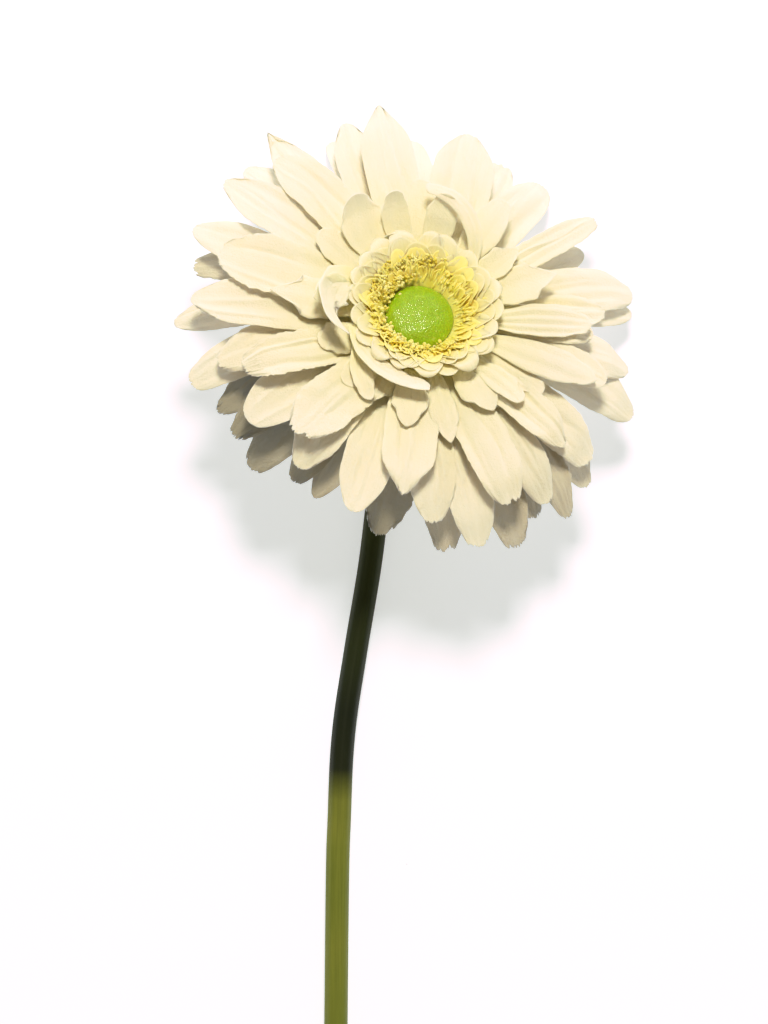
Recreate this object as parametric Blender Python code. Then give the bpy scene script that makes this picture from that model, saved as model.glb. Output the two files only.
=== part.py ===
"""A cut gerbera lying on its stem, with its flower head turned up.

Lengths in this file are millimetres and angles are degrees until the mesh builders turn
them into metres. The flower head has its own frame: the origin is the centre of the
receptacle's flat top, `height` runs along the flower's axis, and an azimuth turns
counter-clockwise round it. The head frame is tilted and turned into place by an empty.

Petals are laid one on another from the back row to the front, the way they lie in a
flower: each is drawn with its own curve, then lifted just clear of what it crosses.
"""

import math

import bpy
import numpy as np
from mathutils import Vector
from mathutils.bvhtree import BVHTree

MM = 0.001

# The whole flower
TILT = 26  # lean of the flower's axis from straight up
TURN = 22  # which way it leans, from +Y towards +X
HEAD_HEIGHT = 26  # receptacle top above the table
GAP = 0.3  # clear space between neighbouring pieces

# Stem and receptacle, which grow as one
STEM_RADIUS = 2.9
NECK_RADIUS = 3.3
NECK_LENGTH = 22  # over which the neck thins to the stem
STEM_SIDES = 16
TOP_RADIUS = 12.7
SHOULDER = (16.8, -6.0)  # radius and height of the widest ring
CONE = ((16.4, -7.2), (13.2, -9.4), (9.0, -11.6), (5.8, -13.6), (4.0, -15.2), (3.3, -16.6))
# The middle of the neck as it turns down to the table, and of the stem on the table, from the head's centre
NECK_ROUTE = ((-3.6, -9.2, 7.1), (-5.0, -15, 3.9))
STEM_ROUTE = ((-7.2, -24), (-9.0, -38), (-11.3, -57), (-14.8, -78), (-17.6, -97), (-18.6, -116), (-19.3, -150))
CUT_END = (-20.5, -310)

# Petals
PETAL = 0.5  # thickness
STATIONS = (0, 0.13, 0.32, 0.54, 0.74, 0.88, 0.97, 1)  # along a petal, as shares of its length
ACROSS = (-1, -0.5, 0, 0.5, 1)  # from edge to edge
CLAW = 3.0  # width of a long petal where it joins the receptacle
WIDEST = 0.5  # where along its length a petal reaches its full width
TIP_START = 0.7  # where the round tip begins
TIP_WIDTH = 0.4  # width of the blunt tip against the widest place
EVENNESS = 0.7  # how far petal roots are spaced by rule, against standing behind their tips
ROOTS = {"back": 16.2, "middle": 14.7, "front": 13.5}  # radius of each row's roots

# Laying one petal on another
LIFT_SPREAD = 0.16  # how far along a petal, as a share of its length, a lift reaches
ROOT_SPREAD = 0.12  # the length over which a petal may leave its root
SLACK = 0.1  # spare clearance for the flat faces of a curved petal
PROBE_MARGIN = 1.12  # a petal is tested a little past its own edges
PROBE_TOP = 90  # probes start this far above the head
STEEPEST = 0.4  # cosine of the steepest slope that a petal is laid on
TABLE_SLACK = 0.02
TABLE_EASE = 0.4  # how softly a petal comes down on the table

# Each petal: azimuth of its tip, reach of the tip from the axis, width, height of the tip,
# arch (rise of its middle), cup (edges up, as a share of the width), roll at the tip, and
# bow (sideways bend, positive counter-clockwise). Each row is listed in order of azimuth.
BACK_ROW = (
    (4, 55.5, 11.5, -10, 1, 0.1, 0, 0),
    (31, 54, 9, -8, 1, 0.1, 0, 0),
    (51, 48, 9, -6, 1, 0.1, 0, 0),
    (76, 42, 10, -6, 1, 0.1, 0, 0),
    (104, 42, 10, -6, 1, 0.1, 0, 0),
    (131, 54, 8, -8, 1, 0.1, 0, 0),
    (154, 57.5, 10, -9, 1, 0.1, 0, 0),
    (184, 54, 9, -9, 2, 0.1, 0, 0),
    (200, 56, 9, -10, 1, 0.1, 0, 0),
    (216, 54, 10, -10, 1, 0.1, 0, 0),
    (224.5, 49.5, 9, -14, 1, 0.1, 0, 0),
    (233, 49.5, 9, -12, 1, 0.1, 0, 0),
    (242, 49.5, 10, -16, 1, 0.1, 0, 0),
    (254, 46, 8.5, -16, 1, 0.1, 0, 0),
    (261.5, 46.5, 8, -14, 1, 0.1, 0, 0),
    (282, 49, 11, -16, 1, 0.1, 0, 0),
    (300, 52.5, 10.5, -16, 1, 0.1, 0, 0),
    (317, 56, 10.5, -16, 1, 0.1, 0, 0),
    (325, 52, 8, -12, 1, 0.1, 0, 0),
    (333, 56, 8.5, -14, 1, 0.1, 0, 0),
    (342, 54, 10, -12, 1, 0.1, 0, 0),
)
MIDDLE_ROW = (
    (14, 52, 10.5, -6, 2, 0.1, 0, 0),
    (27, 45, 8, -1, 2, 0.1, 0, 0),
    (35, 54.5, 11, -4, 2, 0.1, 0, 0),
    (72, 50, 10.5, -2, 2, 0.1, 0, 0),
    (84, 49.5, 10, -3, 2, 0.1, 0, 0),
    (111, 49, 9.5, -3, 2, 0.1, 0, 0),
    (128, 55, 10.5, -3, 2, 0.1, 0, 0),
    (147, 59.5, 11, -2, 2, 0.1, 0, 0),
    (178, 57, 10.5, -3, 2, 0.1, 0, 0),
    (216, 48.5, 10.5, -3, 2, 0.1, 0, 0),
    (235, 48, 12, -3, 2, 0.1, 0, 0),
    (254, 46.5, 11, -5, 2, 0.1, 0, 0),
    (273, 51, 11, -3, 2, 0.1, 0, 0),
    (295, 49.5, 11, -6, 2, 0.1, 0, 0),
    (306.5, 55, 10.5, -8, 2, 0.1, 0, 0),
    (327.5, 52, 9.5, -6, 2, 0.1, 0, 0),
    (344, 51.5, 11.5, -5, 2, 0.1, 0, 0),
)
FRONT_ROW = (
    (3, 46, 9, 3, 3, 0.12, 0, 0),
    (17, 41, 8.5, 4, 3, 0.12, 0, 0),
    (53.5, 50.5, 8, 4, 3, 0.12, 0, 0),
    (96, 51, 14, 2, 3, 0.12, 0, 0),
    (120, 56, 12, 3, 3, 0.12, 0, 1.5),
    (151.5, 51.5, 11.5, 2, 3, 0.12, 0, 0),
    (166, 56, 11, 2, 3, 0.12, 0, 0),
    (186, 49, 14, 3, 3, 0.12, 0, 0),
    (199, 53.5, 11.5, 0, 3, 0.12, 0, 0),
    (221.5, 44.5, 9.5, 3, 3, 0.12, 0, 0),
    (248, 44, 12.5, 3, 3, 0.12, 0, 0),
    (285, 46, 12, 2, 3, 0.12, 0, 0),
    (316, 50, 11, 0, 3, 0.12, 0, 0),
    (338.5, 45.5, 9, 2, 3, 0.12, 0, 0),
)
# The short inner petals, joined at their roots: the same numbers
SHORT_PETALS = (
    (22, 32, 8, 5, 4, 0.2, 0, 0),
    (46, 30, 8, 6, 4, 0.2, 0, 0),
    (70, 31, 8, 7, 4, 0.2, 0, -2),
    (86, 30, 8, 11, 4, 0.2, 0, 0),
    (112, 29, 7, 8, 4, 0.2, 0, 0),
    (132, 31, 9.5, 9, 4, 0.2, 0, 0),
    (160, 30, 8, 5, 4, 0.2, 0, 0),
    (180, 33, 9, 4, 4, 0.2, 0, 0),
    (202, 24, 8, 5, 4, 0.2, 0, 0),
    (226, 24, 8, 5, 4, 0.2, 0, 0),
    (254, 25, 7, 4, 4, 0.2, 0, 0),
    (278, 29, 9, 5, 4, 0.2, 0, 0),
    (303, 32, 7.5, 4, 4, 0.2, 0, 0),
    (325, 31, 10, 6, 4, 0.2, 0, 0),
    (342, 35, 7, 7, 4, 0.2, 0, 0),
    (354, 40, 8, 6, 4, 0.2, 0, 0),
)
SHORT_ROOT = 11.9
SHORT_BAND = 0.6  # width of the ring that joins the short petals
SHORT_STATIONS = (0, 0.12, 0.36, 0.66, 0.9, 1)
SHORT_ACROSS = (-1, -0.33, 0.33, 1)
SHORT_CLAW = 0.85  # width of a short petal's root against its share of the band

# The eye of the flower: radius and height along each profile
FRILL_WALL = ((10.6, 0.55), (11.6, 3.4), (14.0, 6.8), (17.6, 8.8))
FRILL_PLEATS = 18
PLEAT_POINTS = 4
FRILL_WAVE = 0.6
EYE_SIDES = 40
STAMEN_RING = ((9.9, 0.3), (10.9, 3.6), (13.0, 6.7), (12.5, 6.9), (10.2, 4.8), (8.5, 2.6), (8.5, 0.3))
BUTTON_RADIUS = 8.0
BUTTON_HEIGHT = 4.6
BUTTON_RIM = 1.2
BUTTON_FOOT = 7.4

# Bracts, as one cup with pointed lobes that hugs the back of the receptacle
BRACT_CUP = ((4.8, -15.3), (6.9, -13.7), (10.2, -11.6), (14.2, -9.4), (17.5, -7.6))
BRACT_COUNT = 16
BRACT_RIM = 0.6  # how far the cup goes on past its last ring
BRACT_REACH = 4.0  # and how far the lobes go beyond that
BRACT_FALL = 0.1

# Colour, roughness
FINISHES = {
    "petal": ((0.86, 0.82, 0.66, 1), 0.8),
    "frill": ((0.85, 0.82, 0.60, 1), 0.75),
    "stamen": ((0.75, 0.62, 0.16, 1), 0.7),
    "button": ((0.30, 0.48, 0.05, 1), 0.25),
    "stem": ((0.13, 0.15, 0.04, 1), 0.55),
    "bract": ((0.16, 0.22, 0.05, 1), 0.6),
}


def finish(name):
    """One Principled material for each kind of piece."""
    if name in bpy.data.materials:
        return bpy.data.materials[name]
    material = bpy.data.materials.new(name)
    material.use_nodes = True
    shader = material.node_tree.nodes["Principled BSDF"]
    colour, roughness = FINISHES[name]
    shader.inputs["Base Color"].default_value = colour
    shader.inputs["Roughness"].default_value = roughness
    shader.inputs["Metallic"].default_value = 0
    return material


def add_piece(name, points, faces, slot, parent, thickness=0):
    """Adds a mesh from points in millimetres; a thickness makes a sheet into a thin solid."""
    mesh = bpy.data.meshes.new(name)
    mesh.from_pydata((np.asarray(points) * MM).tolist(), [], faces)
    mesh.materials.append(finish(slot))
    mesh.shade_smooth()
    piece = bpy.data.objects.new(name, mesh)
    bpy.context.collection.objects.link(piece)
    piece.parent = parent
    if thickness:
        shell = piece.modifiers.new("thickness", "SOLIDIFY")
        shell.thickness = thickness * MM
        shell.offset = 0
    return piece


def grid_faces(rows, columns, closed=False):
    """Quads of a grid of points stored row after row; a closed grid joins its last column to its first."""
    faces = []
    for near in range(0, (rows - 1) * columns, columns):
        far = near + columns
        for c in range(columns if closed else columns - 1):
            after = (c + 1) % columns
            faces.append((near + c, near + after, far + after, far + c))
    return faces


def smooth(x):
    """Rises from 0 to 1 with level ends."""
    x = np.clip(x, 0, 1)
    return x * x * (3 - 2 * x)


def table_height(q):
    """Height, in the head frame, of the table under a point q up the tilted head."""
    tilt = math.radians(TILT)
    return (q * math.sin(tilt) - HEAD_HEIGHT) / math.cos(tilt)


def petal_width(u, width, claw):
    """Half-width along a petal: a narrow claw, an even blade and a round tip."""
    body = claw + (width - claw) * smooth(u / WIDEST)
    past = np.clip((u - TIP_START) / (1 - TIP_START), 0, 1)
    tip = np.sqrt(1 - past**2)
    return body * (TIP_WIDTH + (1 - TIP_WIDTH) * tip) / 2


def polar(radius, azimuth):
    """A point of the head's plane."""
    return radius * np.array((math.cos(math.radians(azimuth)), math.sin(math.radians(azimuth))))


def petal_surface(petal, root, claw, u, v, lift=0):
    """Points of a petal's middle surface; u runs from root to tip, v from edge to edge."""
    azimuth, reach, width, tip_height, arch, cup, roll, bow = petal
    root_azimuth, root_radius, root_height = root
    u, v = np.meshgrid(u, v, indexing="ij")
    start = polar(root_radius, root_azimuth)
    end = polar(reach, azimuth)
    along = (end - start) / np.linalg.norm(end - start)
    side = np.array((-along[1], along[0]))
    half = petal_width(u, width, claw)
    angle = np.radians(roll) * smooth(u)
    hump = 4 * u * (1 - u)
    offset = bow * hump + half * v * np.cos(angle)
    plan = start + u[..., None] * (end - start) + offset[..., None] * side
    height = root_height + (tip_height - root_height) * u**2 + arch * hump
    height = height + half * v * np.sin(angle) + cup * half * v**2 * smooth(u / WIDEST)
    height = height + np.reshape(lift, (-1, 1))
    floor = table_height(plan[..., 1]) + (PETAL / 2 + TABLE_SLACK) / math.cos(math.radians(TILT))
    height = (height + floor + np.sqrt((height - floor) ** 2 + TABLE_EASE**2)) / 2
    return np.dstack((plan, height))


def lift_over(petal, root, claw, stations, laid):
    """How far each station of a petal rises to clear the petals already laid."""
    u = np.linspace(0, 1, 32)
    v = np.linspace(-PROBE_MARGIN, PROBE_MARGIN, 9)
    needed = np.zeros(len(u))
    if laid:
        points, faces = [], []
        for grid in laid:
            rows, columns = grid.shape[:2]
            faces += [[i + len(points) for i in quad] for quad in grid_faces(rows, columns)]
            points += grid.reshape(-1, 3).tolist()
        tree = BVHTree.FromPolygons(points, faces)
        surface = petal_surface(petal, root, claw, u, v)
        for station, row in enumerate(surface):
            for point in row:
                hit, normal, _, _ = tree.ray_cast(Vector((point[0], point[1], PROBE_TOP)), Vector((0, 0, -1)))
                if hit is not None:
                    spacing = (PETAL + GAP + SLACK) / max(abs(normal.z), STEEPEST)
                    needed[station] = max(needed[station], hit.z + spacing - point[2])
    edges = np.array((stations[0], *stations, stations[-1]))
    local = np.array([needed[(u >= low) & (u <= high)].max() for low, high in zip(edges, edges[2:])])
    stations = np.array(stations)
    bell = np.exp(-(((stations[:, None] - stations[None]) / LIFT_SPREAD) ** 2))
    return (bell * local[None]).max(axis=1) * smooth(stations / ROOT_SPREAD)


def root_azimuths(petals):
    """Azimuths of a row's roots: spaced evenly round the receptacle, drawn towards the petals' own tips."""
    tips = np.array([petal[0] for petal in petals], float)
    even = np.arange(len(petals)) * 360 / len(petals)
    even += (tips - even).mean()
    return even * EVENNESS + tips * (1 - EVENNESS)


def laying_order(count):
    """Every other petal is laid first, then the ones between them."""
    return list(range(0, count, 2)) + list(range(1, count, 2))


def shoulder_height(radius):
    """Height of the receptacle's sloping shoulder at a radius."""
    return SHOULDER[1] * (radius - TOP_RADIUS) / (SHOULDER[0] - TOP_RADIUS)


def shoulder_root(petal, azimuth, radius):
    """Root of a long petal: its inner corner stands clear of the receptacle's sloping shoulder."""
    start = polar(radius, azimuth)
    along = polar(petal[1], petal[0]) - start
    corner = CLAW / 2 * np.array((-along[1], along[0])) / np.linalg.norm(along)
    inner = min(np.linalg.norm(start + corner), np.linalg.norm(start - corner))
    slope = math.atan2(-SHOULDER[1], SHOULDER[0] - TOP_RADIUS)
    return azimuth, radius, shoulder_height(inner) + (PETAL / 2 + GAP) / math.cos(slope)


def lay_rows(head):
    """Lays the three rows of long petals and returns their middle surfaces."""
    laid = []
    for row, petals in (("back", BACK_ROW), ("middle", MIDDLE_ROW), ("front", FRONT_ROW)):
        azimuths = root_azimuths(petals)
        for k in laying_order(len(petals)):
            root = shoulder_root(petals[k], azimuths[k], ROOTS[row])
            lift = lift_over(petals[k], root, CLAW, STATIONS, laid)
            grid = petal_surface(petals[k], root, CLAW, STATIONS, ACROSS, lift)
            laid.append(grid)
            faces = grid_faces(len(STATIONS), len(ACROSS))
            add_piece(f"{row}_petal_{k + 1:02d}", grid.reshape(-1, 3), faces, "petal", head, PETAL)
    return laid


def build_short_petals(head, laid):
    """One ring of short petals that share a narrow band at their roots."""
    count = len(SHORT_PETALS)
    cells = len(SHORT_ACROSS) - 1
    around = count * cells
    laid = list(laid)
    height = PETAL / 2 + GAP
    step = 360 / count
    first = root_azimuths(SHORT_PETALS)[0]
    turns = np.radians(first + (np.arange(around) / cells - 0.5) * step)
    points = [
        (radius * math.cos(turn), radius * math.sin(turn), height)
        for radius in (SHORT_ROOT - SHORT_BAND, SHORT_ROOT)
        for turn in turns
    ]
    faces = grid_faces(2, around, closed=True)
    claw = SHORT_CLAW * 2 * SHORT_ROOT * math.sin(math.radians(step / 2))
    for k in laying_order(count):
        root = (first + k * step, SHORT_ROOT, height)
        lift = lift_over(SHORT_PETALS[k], root, claw, SHORT_STATIONS, laid)
        grid = petal_surface(SHORT_PETALS[k], root, claw, SHORT_STATIONS, SHORT_ACROSS, lift)
        laid.append(grid)
        start = len(points)
        points += [tuple(point) for point in grid[1:].reshape(-1, 3)]
        rows = [[around + (k * cells + c) % around for c in range(cells + 1)]]
        rows += [[start + r * (cells + 1) + c for c in range(cells + 1)] for r in range(len(grid) - 1)]
        for near, far in zip(rows, rows[1:]):
            faces += [(near[c], near[c + 1], far[c + 1], far[c]) for c in range(cells)]
    add_piece("short_petals", points, faces, "petal", head, PETAL)


def turned(profile, sides):
    """Points of a profile of radius and height, carried round the axis."""
    turn = np.arange(sides) * 2 * math.pi / sides
    profile = np.asarray(profile, float)
    ring = np.stack((np.cos(turn), np.sin(turn)), axis=1)
    plan = profile[:, None, :1] * ring[None]
    height = np.repeat(profile[:, None, 1:], sides, axis=1)
    return np.dstack((plan, height))


def build_eye(head):
    """The frill, the stamen ring and the green button."""
    sides = FRILL_PLEATS * PLEAT_POINTS
    frill = turned(FRILL_WALL, sides)
    wave = np.cos(np.arange(sides) * 2 * math.pi / PLEAT_POINTS)
    growth = np.linspace(0, 1, len(FRILL_WALL)) ** 2
    frill[..., 2] += FRILL_WAVE * growth[:, None] * wave[None]
    add_piece("frill", frill.reshape(-1, 3), grid_faces(len(FRILL_WALL), sides, True), "frill", head, PETAL)

    ring = turned(STAMEN_RING, EYE_SIDES)
    faces = grid_faces(len(STAMEN_RING), EYE_SIDES, True)
    last = (len(STAMEN_RING) - 1) * EYE_SIDES
    faces += [(last + c, last + (c + 1) % EYE_SIDES, (c + 1) % EYE_SIDES, c) for c in range(EYE_SIDES)]
    add_piece("stamen_ring", ring.reshape(-1, 3), faces, "stamen", head)

    rise = np.radians(np.linspace(0, 90, 7)[:-1])
    brow = BUTTON_HEIGHT - BUTTON_RIM
    profile = [(BUTTON_FOOT, GAP)]
    profile += [(BUTTON_RADIUS * math.cos(a), BUTTON_RIM + brow * math.sin(a)) for a in rise]
    dome = turned(profile, EYE_SIDES).reshape(-1, 3).tolist()
    faces = grid_faces(len(profile), EYE_SIDES, True)
    faces.append(tuple(reversed(range(EYE_SIDES))))
    top = len(dome)
    dome.append((0, 0, BUTTON_HEIGHT))
    last = (len(profile) - 1) * EYE_SIDES
    faces += [(last + c, last + (c + 1) % EYE_SIDES, top) for c in range(EYE_SIDES)]
    add_piece("green_button", dome, faces, "button", head)


def build_bracts(head):
    """The cup of bracts, with a pointed lobe at each."""
    sides = BRACT_COUNT * 4
    cup = turned(BRACT_CUP, sides)
    lobe = 1 - np.abs(np.cos(np.arange(sides) * math.pi / 4))
    turn = np.arange(sides) * 2 * math.pi / sides
    radius = BRACT_CUP[-1][0] + BRACT_RIM + BRACT_REACH * lobe
    height = BRACT_CUP[-1][1] - BRACT_FALL - BRACT_FALL * BRACT_REACH * lobe
    rim = np.stack((radius * np.cos(turn), radius * np.sin(turn), height), axis=1)
    points = np.concatenate((cup, rim[None])).reshape(-1, 3)
    add_piece("bracts", points, grid_faces(len(BRACT_CUP) + 1, sides, True), "bract", head, PETAL)


def curve_through(points, steps):
    """A smooth curve through points, cut into steps of equal parameter (centripetal Catmull-Rom)."""
    points = [Vector(p) for p in points]
    points = [points[0] * 2 - points[1]] + points + [points[-1] * 2 - points[-2]]
    out = []
    for a, b, c, d in zip(points, points[1:], points[2:], points[3:]):
        ta, tb = 0.0, (b - a).length ** 0.5
        tc = tb + (c - b).length ** 0.5
        td = tc + (d - c).length ** 0.5
        for step in range(steps):
            t = tb + (tc - tb) * step / steps
            ab = a.lerp(b, (t - ta) / (tb - ta))
            bc = b.lerp(c, (t - tb) / (tc - tb))
            cd = c.lerp(d, (t - tc) / (td - tc))
            abc = ab.lerp(bc, (t - ta) / (tc - ta))
            bcd = bc.lerp(cd, (t - tb) / (td - tb))
            out.append(abc.lerp(bcd, (t - tb) / (tc - tb)))
    out.append(points[-2])
    return out


def build_stem(parent):
    """The stem with its receptacle: rings carried along one route, from the flat top to the cut end."""
    tilt, turned_by = math.radians(TILT), math.radians(TURN)
    axis = Vector((math.sin(tilt) * math.sin(turned_by), math.sin(tilt) * math.cos(turned_by), math.cos(tilt)))
    centre = Vector((0, 0, HEAD_HEIGHT))
    profile = ((TOP_RADIUS, 0.0), SHOULDER) + CONE
    rings = [(centre + axis * height, radius, axis) for radius, height in profile]

    on_table = STEM_RADIUS * math.cos(math.pi / STEM_SIDES)
    cone_end = centre + axis * CONE[-1][1]
    route = [cone_end] + [Vector(place) for place in NECK_ROUTE]
    route += [Vector((x, y, on_table)) for x, y in STEM_ROUTE]
    route_points = curve_through(route, 4) + [Vector((CUT_END[0], CUT_END[1], on_table))]
    for place in route_points:
        place.z = max(place.z, on_table)
    for before, here, after in zip(route_points, route_points[1:], route_points[2:] + [None]):
        run = (here - before) if after is None else (after - before)
        fall = (here - cone_end).length
        radius = STEM_RADIUS + (NECK_RADIUS - STEM_RADIUS) * max(0.0, 1 - fall / NECK_LENGTH)
        rings.append((here, radius, -run.normalized()))

    points = []
    for middle, radius, normal in rings:
        side = Vector((0, 0, 1)).cross(normal).normalized()
        other = normal.cross(side)
        for k in range(STEM_SIDES):
            turn = (k + 0.5) * 2 * math.pi / STEM_SIDES
            points.append(middle + side * (radius * math.cos(turn)) + other * (radius * math.sin(turn)))
    faces = [tuple(reversed(quad)) for quad in grid_faces(len(rings), STEM_SIDES, True)]
    faces.append(tuple(range(STEM_SIDES)))
    last = (len(rings) - 1) * STEM_SIDES
    faces.append(tuple(last + k for k in reversed(range(STEM_SIDES))))
    return add_piece("stem", [tuple(p) for p in points], faces, "stem", parent)


def stand_on_origin(lay):
    """Moves the whole flower so that its box stands on the origin."""
    bpy.context.view_layer.update()
    graph = bpy.context.evaluated_depsgraph_get()
    corners = []
    for piece in bpy.data.objects:
        if piece.type == "MESH":
            seen = piece.evaluated_get(graph)
            corners += [seen.matrix_world @ v.co for v in seen.to_mesh().vertices]
            seen.to_mesh_clear()
    low = Vector([min(c[k] for c in corners) for k in range(3)])
    high = Vector([max(c[k] for c in corners) for k in range(3)])
    lay.location = (-(low.x + high.x) / 2, -(low.y + high.y) / 2, -low.z)
    print("box, mm:", [round(x / MM, 1) for x in (*low, *high)])


def build():
    """Clears the scene and builds the flower."""
    for old in list(bpy.data.objects):
        bpy.data.objects.remove(old, do_unlink=True)
    lay = bpy.data.objects.new("lay", None)
    bpy.context.collection.objects.link(lay)
    head = bpy.data.objects.new("head", None)
    bpy.context.collection.objects.link(head)
    head.parent = lay
    head.location = (0, 0, HEAD_HEIGHT * MM)
    head.rotation_euler = (math.radians(-TILT), 0, math.radians(-TURN))
    build_stem(lay)
    build_bracts(head)
    laid = lay_rows(head)
    build_short_petals(head, laid)
    build_eye(head)
    stand_on_origin(lay)


build()
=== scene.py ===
# %% [markdown]
# # A cut gerbera, lying on a pale table
#
# The flower is built up around a fixed frame: a imported CAD model that already has the right size, lie
# and collision. Each CAD petal is a plain folded plate, so this lesson swaps every plate for a fine
# curved petal that follows it. First the frame is loaded.

# %% Load the frame
import math

import bpy
import numpy as np
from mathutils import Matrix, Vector


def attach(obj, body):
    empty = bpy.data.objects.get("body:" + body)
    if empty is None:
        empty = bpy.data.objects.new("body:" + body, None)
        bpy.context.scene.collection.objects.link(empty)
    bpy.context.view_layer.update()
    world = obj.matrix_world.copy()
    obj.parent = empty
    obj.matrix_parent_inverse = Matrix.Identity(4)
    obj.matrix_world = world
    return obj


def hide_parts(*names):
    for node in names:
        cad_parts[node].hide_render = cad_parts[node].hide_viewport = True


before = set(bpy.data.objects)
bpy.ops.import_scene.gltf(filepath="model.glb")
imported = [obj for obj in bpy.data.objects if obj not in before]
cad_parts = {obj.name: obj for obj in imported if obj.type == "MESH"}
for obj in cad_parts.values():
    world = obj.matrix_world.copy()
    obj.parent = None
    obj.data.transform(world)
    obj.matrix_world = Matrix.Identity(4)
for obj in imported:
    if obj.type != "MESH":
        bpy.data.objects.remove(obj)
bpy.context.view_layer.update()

MM = 0.001

# %% [markdown]
# ## The head's own axes
#
# A gerbera head is round about its axis, and here the axis leans away from upright because the stem
# lies down. Shapes are far easier to write as "so far out, so far round, so high" from the middle of
# the head. The ring of stamens is perfectly round, so its own points say where the axis is: it is the
# direction in which the ring spreads least.

# %% Find the axis and the middle of the head
def corners(node):
    """The separate corners of a CAD node, in metres. Its mesh is loose triangles, so each is there
    many times."""
    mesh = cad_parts[node].data
    flat = np.empty(len(mesh.vertices) * 3, np.float32)
    mesh.vertices.foreach_get("co", flat)
    return np.unique(flat.reshape(-1, 3).round(6), axis=0).astype(float)


RING_FOOT = 0.3  # mm that the stamens stand clear of the receptacle
ring = corners("stamen_ring")
axis = np.linalg.svd(ring - ring.mean(0), full_matrices=False)[2][2]
axis *= np.sign(axis[2])
level = np.cross(axis, (0.0, 0.0, 1.0))
level /= np.linalg.norm(level)
HEAD = np.array((level, np.cross(axis, level), axis))
MIDDLE = ring.mean(0) + axis * (((ring - ring.mean(0)) @ axis).min() - RING_FOOT * MM)
print("head's middle (mm)", (MIDDLE / MM).round(2), "axis", axis.round(3))


def to_head(points):
    """Metres in the frame to millimetres along the head's three axes."""
    return (points - MIDDLE) @ HEAD.T / MM


def from_head(points):
    """Millimetres along the head's three axes to metres in the frame."""
    return MIDDLE + points * MM @ HEAD


# %% [markdown]
# ## Surfaces from numbers
#
# Every piece below is a grid of points worked out all at once with numpy. One helper turns such a grid
# into a mesh: neighbours in the grid share a face. A second gives each finished piece its material, hangs
# it on the flower and hides the CAD nodes that it stands for.

# %% Grid to mesh
def grid_faces(rows, columns, around=False):
    """Four-cornered faces between a grid's neighbours. around joins the last column to the first."""
    cell = np.arange(rows * columns).reshape(rows, columns)
    if around:
        cell = np.hstack((cell, cell[:, :1]))
    return np.stack((cell[:-1, :-1], cell[:-1, 1:], cell[1:, 1:], cell[1:, :-1]), -1).reshape(-1, 4)


def make_mesh(name, points, faces, uv=None, tint=None):
    """A smooth-shaded object at the origin. uv and tint, if given, hold a pair and a number per point."""
    mesh = bpy.data.meshes.new(name)
    mesh.from_pydata(points.reshape(-1, 3).tolist(), [], faces.tolist())
    mesh.polygons.foreach_set("use_smooth", np.ones(len(mesh.polygons), bool))
    if uv is not None:
        corner = np.empty(len(mesh.loops), np.int32)
        mesh.loops.foreach_get("vertex_index", corner)
        layer = mesh.uv_layers.new(name="UVMap")
        layer.data.foreach_set("uv", uv.reshape(-1, 2)[corner].astype(np.float32).ravel())
    if tint is not None:
        kept = mesh.attributes.new("tint", "FLOAT", "POINT")
        kept.data.foreach_set("value", tint.ravel().astype(np.float32))
    mesh.validate()
    piece = bpy.data.objects.new(name, mesh)
    bpy.context.scene.collection.objects.link(piece)
    return piece


def finish_piece(piece, material, slot, *nodes):
    """Gives the piece its material, lets it ride on the flower, and hides the CAD nodes that it stands for.
    slot is not used."""
    piece.data.materials.append(material)
    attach(piece, "root")
    if nodes:
        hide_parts(*nodes)
    return piece


def thicken(piece, thickness):
    """Gives a one-sided sheet two faces and a rim, half of the thickness (mm) to each side."""
    wall = piece.modifiers.new("thickness", "SOLIDIFY")
    wall.thickness = thickness * MM
    wall.offset = 0
    wall.use_even_offset = False


def smooth(x):
    """0 before 0, 1 after 1, and an S-curve between."""
    x = np.clip(x, 0, 1)
    return x * x * (3 - 2 * x)


def bump_at(x, middle, width):
    """A bell: 1 at the middle and fading out about a width to each side."""
    return np.exp(-((x - middle) / width) ** 2)


def arc(v):
    """How far a round tip falls back: 0 in the middle, and along a near-circle to 0.76 at v = -1 and 1."""
    return 1 - np.sqrt(1 - (0.97 * v) ** 2)


# %% [markdown]
# ## Petal finish
#
# The petals are matt and velvety: cream, a little greener at the root, with fine lines running from
# root to tip and a soft fuzz over everything. The root's yellow-green runs far out: partly the petals'
# own colour, partly a painted glow of light shining through the petals near the eye. The lines must
# follow each petal, so they are drawn in the petal's own UV map, which holds millimetres across and
# along. The fuzz has no direction, so it reads Object coordinates. Both only tint the surface and bump
# it by a fraction of a millimetre. A number kept for each point, the tint, mixes in a painted shade: it
# darkens the back petals that lie in the shade of those above, and browns the tips a little at random.

# %% Helpers for materials
def new_material(name, **sockets):
    """A material with one Principled shader, whose even values are set straight on the shader's sockets."""
    material = bpy.data.materials.new(name)
    material.use_nodes = True
    tree = material.node_tree
    tree.nodes.clear()
    shader = tree.nodes.new("ShaderNodeBsdfPrincipled")
    out = tree.nodes.new("ShaderNodeOutputMaterial")
    tree.links.new(shader.outputs["BSDF"], out.inputs["Surface"])
    for socket, value in sockets.items():
        shader.inputs[socket.replace("_", " ")].default_value = value
    return material, tree, shader


def add_node(tree, kind, settings=(), **sockets):
    """A node. A socket's value is a number, a colour, or another node's output, which gets linked."""
    node = tree.nodes.new("ShaderNode" + kind)
    for key, value in dict(settings).items():
        setattr(node, key, value)
    for socket, value in sockets.items():
        where = node.inputs[int(socket[1:])] if socket[1:].isdigit() else node.inputs[socket]
        if isinstance(value, bpy.types.NodeSocket):
            tree.links.new(value, where)
        else:
            where.default_value = value
    return node


def sums(tree, operation, a, b=0.5):
    """One step of arithmetic on numbers."""
    return add_node(tree, "Math", {"operation": operation}, _0=a, _1=b).outputs[0]


def stretched(tree, vector, scale):
    """The same coordinates, stretched by a scale for each axis."""
    return add_node(tree, "Mapping", Vector=vector, Scale=scale).outputs[0]


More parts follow.
